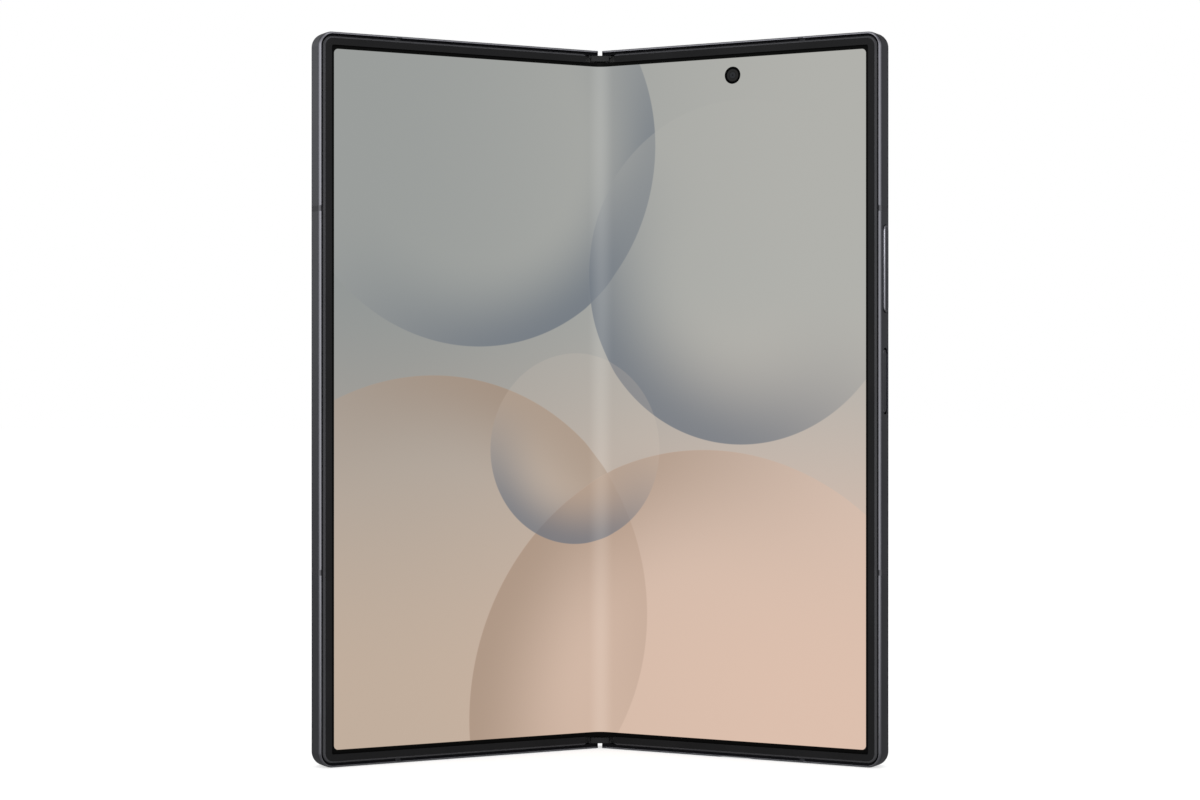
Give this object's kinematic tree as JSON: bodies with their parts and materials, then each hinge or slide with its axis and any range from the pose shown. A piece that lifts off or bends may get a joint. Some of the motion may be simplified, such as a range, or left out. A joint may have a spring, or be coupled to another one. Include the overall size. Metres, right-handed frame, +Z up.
{
  "type": "foldable smartphone",
  "caption": "Book-style folding phone with a large inner display, geared hinge, outer display, rear camera island, side keys and charging port, standing half open.",
  "frame": {"origin": "middle of the object's base, between its lower edges", "axes": "+Z up along the fold, +Y away from the inner display, +X to the right half, which carries the keys"},
  "size_m": [0.1208, 0.0353, 0.1535],
  "materials": {
    "frame_metal": "satin anodised",
    "antenna_plastic": "satin",
    "bezel_plastic": "satin",
    "display": "glossy, lit",
    "support_steel": "fine",
    "hinge_steel": "satin",
    "hinge_cover": "satin anodised",
    "cap_plastic": "matte",
    "spring_steel": "plain",
    "gear_brass": "plain",
    "screw_steel": "plain",
    "battery_foil": "foil",
    "circuit_board": "lacquered",
    "shield_metal": "satin",
    "cover_glass": "gloss",
    "cover_panel": "gloss",
    "back_glass": "frosted",
    "island_metal": "satin anodised",
    "ring_metal": "polished",
    "lens_glass": "gloss",
    "camera_body": "matte",
    "flash_plastic": "frosted",
    "port_steel": "satin",
    "speaker_plastic": "matte",
    "motor_metal": "plain",
    "coil_copper": "lacquered",
    "magnet": "plated",
    "switch_metal": "plain",
    "key_metal": "satin anodised",
    "tray_metal": "satin anodised"
  },
  "bodies": {
    "spine": {"spine_cover": "hinge_cover", "spine_end_caps": "cap_plastic", "hinge_chassis": "hinge_steel", "gear_shafts": "hinge_steel", "torque_springs": "spring_steel", "spine_screws": "screw_steel"},
    "left_half": {"left_frame": "frame_metal", "left_antenna_breaks": "antenna_plastic", "left_bezel": "bezel_plastic", "left_display": "display", "left_fold_display": "display", "left_support_plate": "support_steel", "left_bracket": "hinge_steel", "left_screws": "screw_steel", "left_battery": "battery_foil", "left_board": "circuit_board", "cover_glass": "cover_glass", "cover_panel": "cover_panel", "cover_camera": "camera_body", "earpiece": "speaker_plastic", "vibration_motor": "motor_metal", "left_magnets": "magnet", "card_reader": "shield_metal"},
    "right_half": {"right_frame": "frame_metal", "right_antenna_breaks": "antenna_plastic", "right_bezel": "bezel_plastic", "right_display": "display", "right_fold_display": "display", "right_support_plate": "support_steel", "right_bracket": "hinge_steel", "right_screws": "screw_steel", "right_battery": "battery_foil", "main_board": "circuit_board", "board_shields": "shield_metal", "back_glass": "back_glass", "camera_island": "island_metal", "lens_rings": "ring_metal", "lens_glasses": "lens_glass", "camera_modules": "camera_body", "flash_lens": "flash_plastic", "inner_camera": "camera_body", "usb_port": "port_steel", "loudspeaker": "speaker_plastic", "charging_coil": "coil_copper", "right_magnets": "magnet", "key_switches": "switch_metal"},
    "swing_arm_left": {"arm_left": "hinge_steel"},
    "swing_arm_right": {"arm_right": "hinge_steel"},
    "idler_outer_left": {"outer_idler_left": "gear_brass"},
    "idler_outer_right": {"outer_idler_right": "gear_brass"},
    "idler_inner_left": {"inner_idler_left": "gear_brass"},
    "idler_inner_right": {"inner_idler_right": "gear_brass"},
    "volume_rocker": {"volume_key": "key_metal"},
    "side_button": {"side_key": "key_metal"},
    "tray": {"card_tray": "tray_metal"}
  },
  "joints": [
    {"name": "left_fold", "type": "hinge", "parent": "spine", "child": "left_half", "pos_m": [-0.00185, 0.0131, 0], "axis": [0, 0, 1], "range_deg": [-27.5, 62.5], "deforming": ["left_fold_display"]},
    {"name": "right_fold", "type": "hinge", "parent": "spine", "child": "right_half", "pos_m": [0.00185, 0.0131, 0], "axis": [0, 0, 1], "range_deg": [-62.5, 27.5], "deforming": ["right_fold_display"]},
    {"name": "left_arm_turn", "type": "hinge", "parent": "spine", "child": "swing_arm_left", "pos_m": [-0.00295, 0.0142, 0], "axis": [0, 0, 1], "range_deg": [-27.5, 62.5]},
    {"name": "right_arm_turn", "type": "hinge", "parent": "spine", "child": "swing_arm_right", "pos_m": [0.00295, 0.0142, 0], "axis": [0, 0, 1], "range_deg": [-62.5, 27.5]},
    {"name": "outer_left_gear_turn", "type": "hinge", "parent": "spine", "child": "idler_outer_left", "pos_m": [-0.00168, 0.01533, 0], "axis": [0, 0, 1], "range_deg": [-90, 40]},
    {"name": "outer_right_gear_turn", "type": "hinge", "parent": "spine", "child": "idler_outer_right", "pos_m": [0.00168, 0.01533, 0], "axis": [0, 0, 1], "range_deg": [-40, 90]},
    {"name": "inner_left_gear_turn", "type": "hinge", "parent": "spine", "child": "idler_inner_left", "pos_m": [-0.0005, 0.01555, 0], "axis": [0, 0, 1], "range_deg": [-56, 126]},
    {"name": "inner_right_gear_turn", "type": "hinge", "parent": "spine", "child": "idler_inner_right", "pos_m": [0.0005, 0.01555, 0], "axis": [0, 0, 1], "range_deg": [-126, 56]},
    {"name": "volume_rock", "type": "hinge", "parent": "right_half", "child": "volume_rocker", "pos_m": [0.05811, -0.01472, 0.10405], "axis": [0.4617, 0.887, 0], "range_deg": [-1.5, 1.5], "stiffness_Nm_per_rad": 0.2},
    {"name": "side_press", "type": "slide", "parent": "right_half", "child": "side_button", "axis": [-0.887, 0.4617, 0], "range_m": [0, 0.0002], "stiffness_N_per_m": 1500, "springref_m": -0.0002},
    {"name": "tray_slide", "type": "slide", "parent": "left_half", "child": "tray", "axis": [0, 0, 1], "range_m": [0, 0.018]}
  ],
  "couplings": [
    {"joint": "right_fold", "follows": "left_fold", "ratio": -1},
    {"joint": "left_arm_turn", "follows": "left_fold", "ratio": 1},
    {"joint": "right_arm_turn", "follows": "left_fold", "ratio": -1},
    {"joint": "outer_left_gear_turn", "follows": "left_fold", "ratio": -1.4286},
    {"joint": "outer_right_gear_turn", "follows": "left_fold", "ratio": 1.4286},
    {"joint": "inner_left_gear_turn", "follows": "left_fold", "ratio": 2},
    {"joint": "inner_right_gear_turn", "follows": "left_fold", "ratio": -2}
  ]
}
